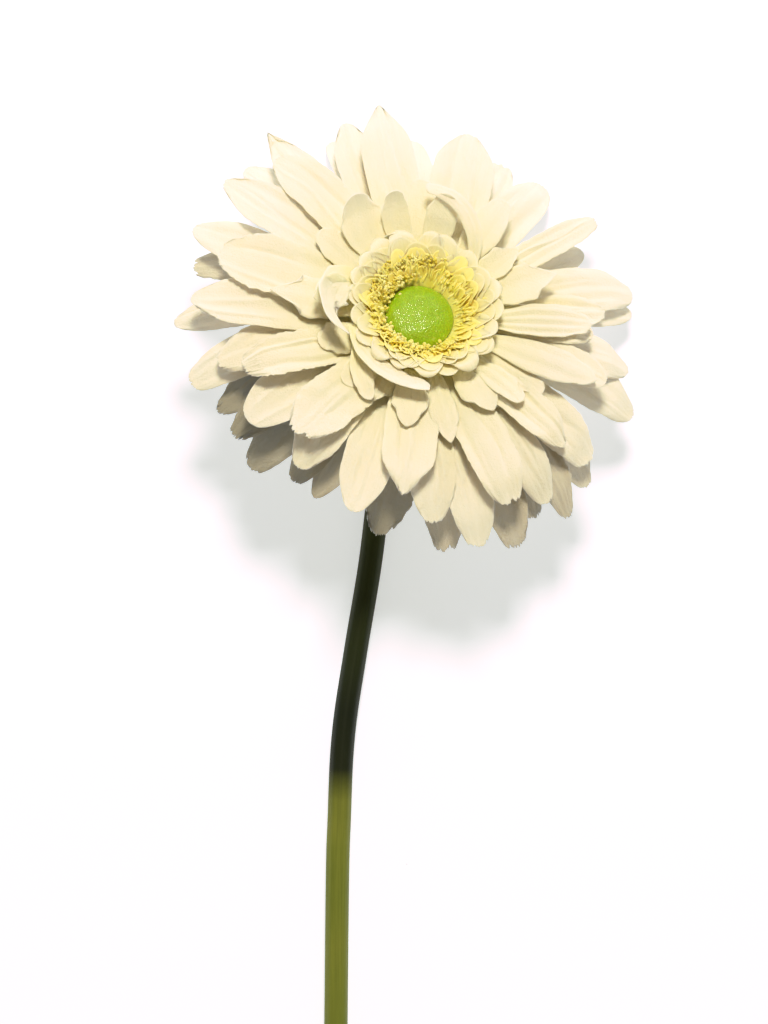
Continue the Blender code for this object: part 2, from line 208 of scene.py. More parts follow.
def noise(tree, vector, scale, detail=2.0, roughness=0.5):
    """Soft noise between 0 and 1."""
    sockets = dict(Vector=vector, Scale=scale, Detail=detail, Roughness=roughness)
    return add_node(tree, "TexNoise", **sockets).outputs[0]


def ramp(tree, value, *stops):
    """Colours along a value: each stop is a place from 0 to 1 and a colour."""
    node = add_node(tree, "ValToRGB", Fac=value)
    band = node.color_ramp
    while len(band.elements) < len(stops):
        band.elements.new(0.5)
    for element, (place, colour) in zip(band.elements, stops):
        element.position, element.color = place, (*colour, 1)
    return node.outputs[0]


def blend_colours(tree, amount, a, b, how="MIX"):
    """Colour a with an amount of b mixed or multiplied in."""
    node = tree.nodes.new("ShaderNodeMix")
    node.data_type, node.blend_type = "RGBA", how
    for place, value in ((0, amount), (6, a), (7, b)):
        if isinstance(value, bpy.types.NodeSocket):
            tree.links.new(value, node.inputs[place])
        else:
            node.inputs[place].default_value = (*value, 1) if place else value
    return node.outputs[2]


def tinged(tree, colour, value, *stops):
    """The colour, multiplied by a ramp of pale tints along a value."""
    return blend_colours(tree, 1.0, colour, ramp(tree, value, *stops), "MULTIPLY")


def own_tint(tree):
    """The tint number that make_mesh kept for each point."""
    return add_node(tree, "Attribute", {"attribute_name": "tint"}).outputs["Fac"]


def emboss(tree, shader, height, depth):
    """Bumps the shader's surface by a height from 0 to 1, where 1 stands for depth in millimetres."""
    bump = add_node(tree, "Bump", Strength=1.0, Distance=depth * MM, Height=height)
    tree.links.new(bump.outputs[0], shader.inputs["Normal"])


def dress(tree, shader, colour, height, depth):
    """Gives the shader its colour and its bumps."""
    tree.links.new(colour, shader.inputs["Base Color"])
    emboss(tree, shader, height, depth)


# %% Petal material
WHITE = (1, 1, 1)
CREAM = (0.92, 0.82, 0.65)
MIDWAY_CREAM = (0.93, 0.855, 0.59)
# root colour: the petals' own greener root, and partly a painted glow of light through the petals near the
# eye
ROOT_CREAM_AND_GLOW = (0.93, 0.89, 0.50)
PETAL_GRAIN = 0.26  # mm from the lowest to the highest of the fuzz and lines
# painted shade for the back petals that lie under others; the tips also take a little of it at random, as
# wear
PAINTED_SHADE_AND_WEAR = (0.27, 0.24, 0.165)
# the root's tint reaches this far out as a painted glow of light near the eye
LONG_ROOT_GLOW_REACH, SHORT_ROOT_GLOW_REACH = 26.0, 20.0  # mm over which the root's tint fades out


def petal_finish(name, root_glow_reach):
    """Cream velvet. root_glow_reach is how far from the root (mm) its greener tint fades out; so far out,
    that tint is partly a painted glow of light shining through the petals near the eye. The tint kept
    for each point mixes in a painted shade.
    """
    material, tree, shader = new_material(
        name, Roughness=0.82, Specular_IOR_Level=0.22, Sheen_Weight=0.10, Sheen_Roughness=0.45,
        Subsurface_Weight=0.85, Subsurface_Scale=0.0008, Subsurface_Radius=(0.75, 0.85, 1.0))
    own = add_node(tree, "UVMap").outputs[0]
    place = add_node(tree, "TexCoord").outputs["Object"]
    lines = noise(tree, stretched(tree, own, (1.9, 0.07, 1)), 1.0, 3.0, 0.6)
    broad = noise(tree, stretched(tree, own, (0.33, 0.03, 1)), 1.0, 1.0)
    fuzz = noise(tree, place, 2100.0, 3.0, 0.75)
    cloud = noise(tree, place, 70.0, 2.0)
    along = add_node(tree, "SeparateXYZ", Vector=own).outputs[1]
    # greener root tint, reaching far out as a painted glow
    tinted = ramp(tree, sums(tree, "DIVIDE", along, root_glow_reach),
                  (0.0, ROOT_CREAM_AND_GLOW), (0.35, MIDWAY_CREAM), (1.0, CREAM))
    tinted = tinged(tree, tinted, cloud, (0.3, (0.97, 0.95, 0.91)), (0.7, WHITE))
    tinted = tinged(tree, tinted, lines, (0.36, (0.985, 0.98, 0.965)), (0.62, WHITE))
    # painted shade: the tint mixes in the shade colour, mostly on the back petals
    tinted = blend_colours(tree, own_tint(tree), tinted, PAINTED_SHADE_AND_WEAR)
    height = sums(tree, "ADD", sums(tree, "MULTIPLY", lines, 0.15), sums(tree, "MULTIPLY", broad, 0.5))
    dress(tree, shader, tinted, sums(tree, "ADD", height, fuzz), PETAL_GRAIN)
    return material


petal_cream = petal_finish("petal_cream", LONG_ROOT_GLOW_REACH)
inner_cream = petal_finish("inner_petal_cream", SHORT_ROOT_GLOW_REACH)
print("materials:", [m.name for m in bpy.data.materials])

# %% [markdown]
# ## Reading a petal's track off its plate
#
# Each CAD petal has eight cross-sections, each of five points on both of its faces. Through the points
# of one cross-section a parabola is fitted: its height, its slope and its dip say how the petal lies
# there. Smooth curves through the eight answers then give the track of the fine petal, which so stays
# within its plate and clear of its neighbours.

# %% Petal tracks
STATIONS = np.array((0, 0.13, 0.32, 0.54, 0.74, 0.88, 0.97, 1))
STATION_REACH = 0.014  # a section's corners lie within this share of the length
SECTION_CORNERS = 10
FIT_DEGREES = (2, 5, 5, 4, 4)  # for drift, half-width, height, slope and dip


def petal_track(node):
    """Where a petal lies: its root, its run to the tip and the sideways direction, in the head's plan, and
    polynomials in u (0 at the root, 1 at the tip) for its drift, half-width, height, slope and dip."""
    points = to_head(corners(node))
    plan = points[:, :2]
    run = np.linalg.svd(plan - plan.mean(0), full_matrices=False)[2][0]
    run *= np.sign(run @ plan.mean(0))
    order = np.argsort(plan @ run)
    root = plan[order[:SECTION_CORNERS]].mean(0)
    run = plan[order[-SECTION_CORNERS:]].mean(0) - root
    length = np.hypot(*run)
    side = np.array((-run[1], run[0])) / length
    u = (plan - root) @ run / length**2
    s = (plan - root) @ side
    rows = []
    for station in STATIONS:
        here = np.abs(u - station) < STATION_REACH
        middle = (s[here].max() + s[here].min()) / 2
        half = (s[here].max() - s[here].min()) / 2
        dip, slope, height = np.polyfit((s[here] - middle) / half, points[here, 2], 2)
        rows.append((middle, half, height, slope, dip))
    rows = np.array(rows)
    fits = [np.polyfit(STATIONS, rows[:, k], degree) for k, degree in enumerate(FIT_DEGREES)]
    return dict(root=root, run=run, side=side, length=length, fits=fits, half=rows[:, 1].max())


tracks = {node: petal_track(node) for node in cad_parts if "_petal_" in node}
print("petal tracks:", len(tracks), "longest",
      round(max(track["length"] for track in tracks.values()), 1), "mm")

# %% [markdown]
# ## The large petals
#
# A petal is a surface of u, from root to tip, and v, from one edge to the other. Its width swells from
# a narrow claw and draws in again towards the tip. The tip's own outline comes from shortening u near
# the edges, so it can be round, pointed or notched. Two broad grooves and two creases run along it,
# its rim turns down and its edges are a little ragged. What differs from petal to petal is drawn from
# one seeded generator, and the petals with a character of their own say so in a short table.

# %% Petal surface
PETAL_ROWS, PETAL_COLUMNS = 64, 41
PETAL_THICKNESS = 0.20  # mm
CLAW = 0.72  # width at the root, as a share of the full width
TIP_START = 0.66  # where along a petal its width draws in
# By ring and number. full widens a petal, tip rounds it and point sharpens it; fray makes it ragged and a
# notch cuts it at (v, depth, width); groove, rib, rim and curl are heights in mm; tint is its share of
# the painted shade, which stands for the shade that the petals above cast on the back petals.
LOOKS = {
    "front": {
        2: dict(rib=0.16, groove=0.4),
        3: dict(full=0.86, tip=0.3, fray=0.4, rim=-0.5, groove=0.5),
        4: dict(tip=0.4, point=0.1, rim=-0.9, groove=1.7),
        5: dict(tip=0.9, point=0.5, groove=0.9, rim=-0.7),
        8: dict(fray=0.5, tip=0.2, groove=0.35),
        10: dict(fray=0.6, tip=0.1),
        11: dict(tip=0.3, fray=0.5, groove=0.5, notch=((0.5, 0.9, 0.2),)),
        12: dict(tip=0.8, point=0.4, groove=0.8, rib=0.06),
        13: dict(notch=((0.1, 1.0, 0.2),), fray=0.4, curl=-1.2),
        14: dict(tip=0.9, fray=0.3, curl=-1.6),
    },
    "middle": {
        1: dict(curl=-1.8, fray=0.3),
        3: dict(tip=0.3, fray=0.3, groove=1.6, curl=-2.0),
        4: dict(groove=1.6, rim=-0.8),
        5: dict(notch=((0.0, 0.8, 0.15), (0.55, 0.6, 0.15)), tip=0.2, groove=1.5),
        8: dict(point=1.0, tip=1.0),
        10: dict(fray=0.4, groove=0.7),
        15: dict(curl=-1.4, fray=0.4),
        16: dict(curl=-1.6),
        17: dict(tip=0.2, fray=0.4, curl=-1.8),
    },
    "back": {
        1: dict(fray=0.4, tint=0.12, curl=-2.0),
        3: dict(tint=0.2),
        8: dict(tint=0.5, fray=0.5),
        9: dict(tint=0.15),
        10: dict(tint=0.15),
        11: dict(tint=0.9, fray=0.4),
        12: dict(tint=0.9, fray=0.5),
        13: dict(tint=0.8),
        14: dict(tint=0.8),
        15: dict(tint=0.7),
        16: dict(fray=0.6, tip=0.4, tint=0.8),
        17: dict(fray=0.6, tip=0.3, notch=((0.3, 0.9, 0.2),), tint=0.5),
        18: dict(fray=0.6, tip=0.2, tint=0.55),
        19: dict(fray=0.5, tint=0.6),
        20: dict(fray=0.5, tint=0.5, curl=-2.0),
        21: dict(tint=0.3, fray=0.3, curl=-2.0),
    },
}
TIP_WAVES, EDGE_WAVES = 14, 26  # how many random waves make the tip and the edges ragged


def wobble(rng, x, waves, size):
    """A smooth random curve over x, from 0 to 1: sines of rising frequency with random starts and sizes."""
    k = np.arange(1, waves + 1)
    amount = rng.normal(size=waves) / np.sqrt(k)
    curve = (np.sin(2 * np.pi * (k * x[..., None] + rng.random(waves))) * amount).sum(-1)
    return size * curve / math.sqrt(waves)


def petal_relief(u, v, look, rng):
    """Heights (mm) that enliven a petal: grooves, ribs, creases and slow swings, which all fade out at the
    root and the tip, then the turned rim and the curled tip."""
    body = np.sin(np.pi * np.clip(u, 0, 1) ** 0.8) ** 0.6
    drawn = ((rng.uniform(-0.6, -0.2), rng.uniform(0.5, 1.1), rng.uniform(0.16, 0.3)),
             (rng.uniform(0.1, 0.55), rng.uniform(0.5, 1.1), rng.uniform(0.14, 0.3)))
    grooves = sum(depth * bump_at(v, place + 0.12 * wobble(rng, u, 2, 0.5), spread)
                  for place, depth, spread in drawn)
    ribs = np.cos(2 * np.pi * (2.2 * v + 0.25 * wobble(rng, u, 2, 0.6)))
    creases = sum(bump_at(v, place + 0.16 * wobble(rng, u, 2, 0.5), rng.uniform(0.06, 0.11))
                  * rng.choice((-1, 1)) * smooth((u - rng.uniform(0.05, 0.4)) / 0.3)
                  * (1 - smooth((u - rng.uniform(0.6, 1.0)) / 0.3)) for place in rng.uniform(-0.6, 0.6, 2))
    swing = 0.22 * wobble(rng, u + 0.15 * v, 3, 1.0) + 0.16 * wobble(rng, u + 0.2 * v, 7, 1.0) * np.abs(v)
    inner = body * (look["rib"] * ribs - look["groove"] * grooves + 0.5 * creases + swing)
    rim = look["rim"] * np.abs(v) ** 3 * smooth(u / 0.4)
    return inner + rim + look["curl"] * smooth((u - 0.78) / 0.22) ** 2


def petal_points(track, look, rng):
    """Points, UV and tint of one petal.
    along = u - (arc of v + ragged edge) near the tip; across = drift + half-width(u) * v + ragged edge;
    height = fitted height + slope * v + dip * v^2 + relief."""
    u = np.linspace(0, 1, PETAL_ROWS)[:, None] ** 0.85 * np.ones((1, PETAL_COLUMNS))
    v = np.sin(np.linspace(-1, 1, PETAL_COLUMNS) * 1.3)[None, :] / math.sin(1.3) * np.ones((PETAL_ROWS, 1))
    length, half = track["length"], track["half"]
    at = lambda k, x: np.polyval(track["fits"][k], x)
    outline = (0.35 + 0.4 * look["tip"]) * half / length * arc(v)
    ragged = np.abs(wobble(rng, (v + 1) / 2, TIP_WAVES, look["fray"] * 2.4)) / length
    for place, depth, width in look["notch"]:
        ragged = ragged + depth / length * bump_at(v, place, width)
    along = u - smooth((u - 0.7) / 0.3) * (outline + ragged)
    past = np.clip((u - TIP_START) / (1 - TIP_START), 0, 1)
    blunt = 0.58 - 0.46 * look["point"] - 0.2 * look["tip"]  # width left at the tip
    taper = np.sqrt(1 - past ** (2.2 - look["point"]) * (1 - blunt**2))
    width = look["full"] * half * (CLAW + (1 - CLAW) * smooth(u / 0.5)) * taper
    right, left = (wobble(rng, u, EDGE_WAVES, look["fray"]) * side for side in (v > 0, v < 0))
    across = at(0, along) + width * v + np.abs(v) ** 3 * (right + left)
    height = at(2, along) + at(3, along) * v * np.minimum(width / half, 1) + at(4, along) * v**2
    height = height + petal_relief(u, v, look, rng)
    plan = track["root"] + along[..., None] * track["run"] + across[..., None] * track["side"]
    # the petal's share of painted shade, plus a little random browning at the tip
    tint = look["tint"] + 0.1 * smooth((u - 0.93) / 0.07) * rng.random(u.shape)
    uv = np.stack((across + rng.uniform(0, 90), along * length), -1)
    return np.concatenate((plan, height[..., None]), -1), uv, np.clip(tint, 0, 1)


def make_petal(node, rng):
    """Builds the fine petal that stands for one CAD petal, such as front_petal_02."""
    ring, number = node.split("_petal_")
    look = dict(full=1.05, point=0.0, notch=(), tint=0.0, tip=rng.uniform(0.1, 0.8),
                curl=-0.5 + 0.6 * rng.normal(), rim=rng.uniform(-0.85, -0.1), groove=rng.uniform(0.6, 1.25),
                rib=rng.uniform(0.0, 0.05), fray=rng.uniform(0.10, 0.32))
    look.update(LOOKS[ring].get(int(number), {}))
    points, uv, tint = petal_points(tracks[node], look, rng)
    piece = make_mesh(node + "_blade", from_head(points), grid_faces(*points.shape[:2]), uv, tint)
    thicken(piece, PETAL_THICKNESS)
    return finish_piece(piece, petal_cream, "petal", node)


rng = np.random.default_rng(26)
petals = [make_petal(node, rng) for node in sorted(tracks)]
print("large petals:", len(petals))

# %% [markdown]
# ## The short petals round the eye
#
# Between the large petals and the eye stands a ring of short, lively petals: some lie flat, some rise
# and hook over at the tip, one runs round the eye like a crescent. What makes each one is how its slope
# changes from root to tip, so each is drawn by its slope: starting at the root, tiny steps are added up
# in the direction of the slope, and the direction may turn sideways on the way.

# %% Short petal surface
STRAP_ROWS, STRAP_COLUMNS = 40, 15
SLOPE_BLUR = 7  # how many neighbouring slopes are averaged


def strap_points(azimuth, length, width, slopes, start=14.0, foot=2.0, heading=0.0, turn=0.0, roll=0.0,
                 cup=0.0, ridges=0.0, tip=0.5, point=0.0, claw=0.45, fray=0.06, seed=0):
    """Points, UV and tint of a petal that follows its slopes, all in degrees and millimetres.
    slope(u) runs smoothly through the given degrees; step = (cos slope in the heading, sin slope upwards),
    and the path is the running sum of the steps from its root at (azimuth, start, foot). The heading
    starts at azimuth + heading and turns by turn. A point = path + half-width * v * sideways +
    (cup * half-width * v^2 - two grooves + slow swing + ridges) * upwards, with both rolled by roll.
    At the tip the corners fall back, tip times an arc and point times straight lines; roll shifts both.
    claw is the width at the root, as a share of the full one, and fray makes the edges ragged."""
    rng = np.random.default_rng(1000 + seed)
    u = np.linspace(0, 1, STRAP_ROWS)
    v = np.linspace(-1, 1, STRAP_COLUMNS)[None, :]
    slope = np.radians(np.interp(u, np.linspace(0, 1, len(slopes)), slopes))
    slope = np.pad(slope, SLOPE_BLUR // 2, mode="edge")
    slope = np.convolve(slope, np.ones(SLOPE_BLUR) / SLOPE_BLUR, "valid")
    facing = np.radians(azimuth + heading + turn * u)
    ahead = np.stack((np.cos(slope) * np.cos(facing), np.cos(slope) * np.sin(facing), np.sin(slope)), -1)
    out = math.radians(azimuth)
    root = np.array((start * math.cos(out), start * math.sin(out), foot))
    steps = np.vstack((np.zeros(3), np.cumsum((ahead[1:] + ahead[:-1]) / 2, 0)))
    path = root + steps * length / (STRAP_ROWS - 1)
    level = np.stack((-np.sin(facing), np.cos(facing), 0 * facing), -1)
    upward = np.cross(ahead, level)
    u = u[:, None]
    tilt = np.radians(roll) * smooth(u / 0.6)
    sideways = level * np.cos(tilt) + upward * np.sin(tilt)
    upward = upward * np.cos(tilt) - level * np.sin(tilt)
    taper = np.sqrt(np.clip(1 - smooth((u - 0.62) / 0.38) ** 2 * (0.72 - 0.25 * tip), 0.01, 1))
    half = width / 2 * (claw + (1 - claw) * smooth(u / 0.55)) * taper
    half = half * (1 + wobble(rng, u, 5, fray) * v)
    off = (v - tilt) / (1 + abs(tilt))
    pull = width / 2 * (tip * arc(off) + point * np.abs(off)) * smooth((u - 0.6) / 0.4)
    pull = pull + np.abs(wobble(rng, (v + 1) / 2, 6, fray * 2)) * smooth((u - 0.8) / 0.2)
    body = np.sin(np.pi * u**0.9) ** 0.6
    relief = cup * half * v**2 * smooth(u / 0.5) - 0.26 * body * bump_at(v, rng.uniform(-0.4, 0), 0.25)
    relief = relief - 0.22 * body * bump_at(v, rng.uniform(0.2, 0.6), 0.2)
    relief = relief + 0.20 * wobble(rng, u, 3, 1.0) * body
    relief = relief + ridges * body * np.cos(2 * np.pi * 1.9 * (v - 0.1))
    points = path[:, None] + (half * v)[..., None] * sideways[:, None]
    points = points + relief[..., None] * upward[:, None] - pull[..., None] * ahead[:, None]
    uv = np.stack((half * v + rng.uniform(0, 90), u * length * np.ones_like(v)), -1)
    return points, uv, np.zeros(points.shape[:2])


# %% Short petals
SHORT_PETALS = (  # name, azimuth, length, width, slopes, and what else sets the petal apart
    ("flat_right", 18.5, 26.5, 8.6, (24, 14, 4, -4), dict(point=0.15, ridges=0.26)),
    ("flat_upper_right", 40, 20.5, 9.4, (26, 16, 8, 0), dict(tip=0.3, point=0.75, cup=0.1)),
    ("clear_tip", 57, 15.5, 6.6, (30, 24, 14, 4), dict(tip=0.3, point=0.6, cup=0.2)),
    ("behind_finger", 76, 22, 8.4, (22, 18, 12, 4), dict(tip=0.7)),
    ("long_finger", 64, 29, 4.2, (46, 32, 14, 0), dict(turn=128, heading=8, cup=-0.2)),
    ("upright_right", 100, 17.5, 7.4, (34, 34, 44, 54), dict(cup=-0.1)),
    ("upright_middle", 111, 20, 7.6, (24, 20, 18, 14), dict(tip=0.6)),
    ("dark_tip", 126, 18, 6.8, (24, 26, 40, 70), dict(tip=0.6, cup=0.12)),
    ("small_fold", 135, 9, 5.6, (28, 36, 54, 84), dict(start=13.5, tip=0.4)),
    ("spoon", 144, 20, 11.6, (22, 16, 30, 72), dict(tip=0.9, cup=0.18)),
    ("upper_left", 163, 17, 8.4, (22, 14, 8, 2), dict(tip=0.6)),
    ("lower_left", 197, 22.5, 10.6, (22, 15, 7, -2), dict(tip=0.3, point=1.0, cup=-0.12)),
    ("fold_outer", 178, 22, 8.6, (46, 20, -4, -22), dict(start=17, foot=5.6, heading=28, turn=150,
     roll=-34, claw=0.7, tip=0.4, point=1.1, cup=0.2)),
    ("fold_inner", 190, 11.5, 7.2, (56, 30, 4, -14), dict(start=16.8, foot=6.0, heading=6, turn=70,
     roll=-26, tip=0.7, cup=0.25)),
    ("ragged_left", 222, 12.5, 8.4, (26, 16, 6, -8), dict(fray=0.13, tip=0.6, cup=-0.2)),
    ("under_crescent", 248, 13, 7.4, (20, 12, 4, 0), dict(tip=0.6)),
    ("narrow_point", 229, 16, 5.0, (10, 4, 0, -6), dict(start=17.5, foot=4.6, heading=62, turn=22,
     tip=1.3)),
    ("middle_bottom", 263, 12.5, 6.8, (16, 10, 4, -4), dict(point=0.5, cup=-0.2)),
    ("broad_bottom", 283, 16.5, 8.4, (22, 16, 4, -12), dict(tip=0.85, point=0.25, cup=-0.12)),
    ("long_bottom", 302, 19.5, 6.8, (14, 6, 0, -6), dict(tip=0.6, point=0.6, cup=-0.15)),
    ("broad_lower_right", 325, 16, 9.4, (26, 18, 4, -18), dict(tip=0.7, point=0.3, cup=-0.15)),
    ("lifted_narrow", 337, 18, 5.8, (26, 16, 8, -2), dict(start=14.5, tip=0.9)),
    ("ridged_right", 348, 20, 6.6, (12, 6, 2, -4), dict(tip=0.9, ridges=0.12)),
    ("long_right", 0, 30, 8.6, (20, 10, 0, -6), dict(tip=0.6, point=0.35, cup=-0.12)),
    ("crescent", 219, 25.5, 5.2, (10, 6, 0, -6), dict(start=17.6, foot=6.6, heading=77, turn=90, roll=-22,
     claw=0.4, tip=1.7)),
)

shorts = []
for number, (name, *shape, more) in enumerate(SHORT_PETALS):
    points, uv, tint = strap_points(*shape, **more, seed=number)
    piece = make_mesh("short_petal_" + name, from_head(points), grid_faces(*points.shape[:2]), uv, tint)
    thicken(piece, PETAL_THICKNESS)
    shorts.append(finish_piece(piece, inner_cream, "petal", "short_petals"))
print("short petals:", len(shorts))

# %% [markdown]
# ## Many small parts in one mesh
#
# The frill, the stamens and the bracts are the same small shape over and over. Rather than hundreds of
# objects, one array holds all of them: the first axis counts the copies, the next two are the grid of
# one copy. Each copy gets its own numbers for reach, width and lean.

# %% Crowd helper
def crowd_mesh(name, points, uv=None, tint=None, around=False):
    """One mesh from copies of a grid: points has the shape (copies, rows, columns, 3)."""
    copies, rows, columns = points.shape[:3]
    faces = grid_faces(rows, columns, around)
    faces = (faces[None] + (np.arange(copies) * rows * columns)[:, None, None]).reshape(-1, 4)
    return make_mesh(name, points, faces, uv, tint)


def polar(radius, azimuth, height):
    """Head coordinates from a radius (mm), an azimuth (radians) and a height (mm)."""
    return np.stack(np.broadcast_arrays(radius * np.cos(azimuth), radius * np.sin(azimuth), height), -1)


def along_profile(profile, t):
    """(radius, height) at t from 0 to 1 along a profile of corners, by length."""
    profile = np.array(profile, float)
    reach = np.concatenate(((0,), np.cumsum(np.hypot(*np.diff(profile, axis=0).T))))
    return [np.interp(t * reach[-1], reach, profile[:, k]) for k in (0, 1)]


# %% [markdown]
# ## The frill
#
# Round the yellow eye stands a frill of small thin florets with rounded tips, which overlap and lean
# outwards like a ruff. Five tiers climb the wall of the frill's CAD ring: the two outer ones are long
# and pale and let a little of what lies behind show, the three inner ones are short and golden. Each
# floret is a strap with its sides bent forwards.

# %% Frill florets
FRILL_WALL = ((10.6, 0.7), (11.6, 3.4), (14.0, 6.6), (17.6, 8.6))
FLORET_LENGTH = 14.0  # mm, roughly, from foot to tip
FRILL_THICKNESS = 0.13  # mm


def floret_row(count, first, reach, width, out, gold, rng):
    """A tier of florets: u climbs the wall from first to reach, v crosses the floret, whose tip is round.
    The half-width is held to the tip and the tip's corners are drawn back, so that it stays broad. What
    climbs past the wall leans outwards, and each floret's own twist and nod push it off the wall."""
    turn = (np.arange(count) + rng.uniform(-0.25, 0.25, count)) * 2 * np.pi / count
    turn, own_reach, own_width, twist, nod = (x[:, None, None] for x in (
        turn, reach * rng.uniform(0.9, 1.06, count), width * rng.uniform(0.85, 1.2, count),
        rng.normal(size=count), rng.normal(size=count)))
    u = np.linspace(0, 1, 14)[None, :, None]
    v = np.linspace(-1, 1, 9)[None, None, :]
    half = own_width / 2 * (0.6 + 0.4 * smooth(u / 0.6)) * np.sqrt(1 - 0.45 * smooth((u - 0.6) / 0.4) ** 2)
    pull = 0.8 * half / FLORET_LENGTH * arc(v) * smooth((u - 0.45) / 0.55)
    climb = first + (own_reach - first) * u - pull
    radius, height = along_profile(FRILL_WALL, np.clip(climb, 0, 1))
    over = np.clip(climb - 1, 0, 1) * FLORET_LENGTH
    wave = 0.34 * twist * v * u + 0.3 * np.sin(5 * turn + 4 * u) * u + 0.5 * nod * u**2
    radius = radius + over + out - 0.22 * v**2 * half - wave
    height = height + 0.5 * wave - 0.5 * np.clip(over, 0, 2) + 0.05 * np.cos(8 * v + twist) * u
    points = polar(radius, turn + half * v / radius, height)
    uv = np.stack(np.broadcast_arrays(half * v + 3 * turn, climb * FLORET_LENGTH), -1)
    return points, uv, np.broadcast_to(gold * (1 - 0.45 * u**3) + 0.0 * v, points.shape[:-1])


FRILL_TIERS = (  # how many, from where and how far up the wall, width and push outwards (mm), gold
    (20, 0.30, 1.10, 8.2, 0.5, 0.0), (22, 0.24, 0.96, 6.8, 0.0, 0.15), (24, 0.16, 0.84, 5.4, -0.4, 0.45),
    (28, 0.0, 0.66, 3.8, -0.9, 0.85), (36, 0.0, 0.52, 2.3, -1.5, 1.0))
rng = np.random.default_rng(7)
tiers = [floret_row(*tier, rng) for tier in FRILL_TIERS]
ruff, cup = ([np.concatenate(parts) for parts in zip(*some)] for some in (tiers[:2], tiers[2:]))


# %% Frill finish
def frill_finish(name, clearness, tip):
    """Thin petal, from yellow at the foot to the colour of its tip, with faint lines and its own share of
    gold. clearness lets what lies behind show."""
    material, tree, shader = new_material(
        name, Roughness=0.7, Specular_IOR_Level=0.15, Subsurface_Weight=0.8, Subsurface_Scale=0.0002,
        Subsurface_Radius=(0.8, 0.9, 1.0), Alpha=1 - clearness)
    own = add_node(tree, "UVMap").outputs[0]
    along = add_node(tree, "SeparateXYZ", Vector=own).outputs[1]
    lines = noise(tree, stretched(tree, own, (3.0, 0.15, 1)), 1.0, 2.0)
    tinted = ramp(tree, sums(tree, "DIVIDE", along, FLORET_LENGTH),
                  (0.0, (0.96, 0.78, 0.20)), (0.45, (0.96, 0.83, 0.36)), (0.95, tip))
    tinted = tinged(tree, tinted, lines, (0.35, (0.96, 0.95, 0.9)), (0.65, WHITE))
    tinted = blend_colours(tree, own_tint(tree), tinted, (0.96, 0.78, 0.17))
    dress(tree, shader, tinted, lines, 0.1)
    return material


# the cup's tips: gold of the inner florets, dulled to olive as a painted shade of the upright tips
for name, (points, uv, tint), clearness, tip in (("frill_ruff", ruff, 0.24, (0.95, 0.87, 0.66)),
                                                 ("frill_cup", cup, 0.0, (0.88, 0.80, 0.36))):
    frill = crowd_mesh(name, from_head(points), uv, tint)
    thicken(frill, FRILL_THICKNESS)
    finish_piece(frill, frill_finish(name + "_cream", clearness, tip), "frill", "frill")
    print(name, "florets:", len(points))

# %% [markdown]
# ## The stamens
#
# Inside the frill is a crowd of yellow filaments, leaning outwards, and here and there a cluster of
# crumbly golden anthers. A filament is a little tapering tube on a bent path. An anther is a small
# lumpy bean.

# %% Filaments
FILAMENT_FEET = (8.3, 11.4)  # radii (mm) between which the filaments stand


def filament_points(count, rng):
    """Tubes of five sides: the path climbs from (foot radius, foot height) outwards with a bend; the tube
    thins towards the tip and closes there."""
    turn = rng.uniform(0, 2 * np.pi, count)[:, None, None]
    foot = rng.uniform(*FILAMENT_FEET, count)[:, None, None]
    tall = rng.uniform(0.65, 1.1, count)[:, None, None]
    drift = rng.normal(size=(2, count))[:, :, None, None]
    u = np.linspace(0, 1, 6)[None, :, None]
    spin = (np.arange(5) * 2 * np.pi / 5)[None, None, :]
    radius = foot + (1.2 + 1.1 * tall) * u**1.6 + 0.25 * drift[0] * u
    height = 1.2 + (foot - FILAMENT_FEET[0]) + 4.0 * tall * u - 0.7 * u**3
    azimuth = turn + 0.05 * drift[1] * u**2
    thick = 0.36 * (1 - 0.5 * u) * (1 - 0.97 * smooth((u - 0.8) / 0.2))
    return polar(radius + thick * np.cos(spin), azimuth + thick * np.sin(spin) / radius, height)


# %% Anthers
ANTHER_CLUSTERS = (  # how many, azimuth and its spread (radians), radius, its spread, height (mm)
    (150, 2.45, 0.50, 12.6, 0.6, 6.2), (120, 2.75, 0.30, 8.9, 0.7, 4.3), (170, 4.55, 0.42, 9.2, 0.8, 4.0),
    (50, 3.5, 0.5, 11.6, 0.7, 5.2), (40, 0.4, 1.2, 11.0, 0.9, 4.8))


def anther_points(rng):
    """Beans of six sides: a sphere's grid, stretched one way and knocked about a little. Each cluster
    strews its beans about one place, rising a little with the radius."""
    rows = np.repeat(np.array(ANTHER_CLUSTERS), [int(row[0]) for row in ANTHER_CLUSTERS], axis=0)
    count = len(rows)
    turn = rows[:, 1] + rows[:, 2] * rng.normal(size=count)
    foot = rows[:, 3] + rows[:, 4] * rng.normal(size=count)
    lift = rows[:, 5] + 0.5 * (foot - rows[:, 3]) + rng.uniform(-0.4, 0.5, count)
    size = rng.uniform(0.22, 0.42, (count, 1, 1, 1)) * np.array((1.0, 1.0, 1.5))
    size = size * rng.uniform(0.7, 1.3, (count, 1, 1, 3))
    tall = np.linspace(-1, 1, 6)[:, None] * np.pi / 2
    spin = (np.arange(6) * np.pi / 3)[None, :]
    ball = polar(np.cos(tall), spin, np.sin(tall))
    lean = np.linalg.qr(rng.normal(size=(count, 3, 3)) * 0.5 + np.eye(3))[0]
    ball = (ball[None] * size * rng.uniform(0.85, 1.15, (count, 6, 6, 1))) @ lean[:, None]
    return ball + polar(foot, turn, lift)[:, None, None]


rng = np.random.default_rng(11)
filaments = filament_points(150, rng)
anthers = anther_points(rng)


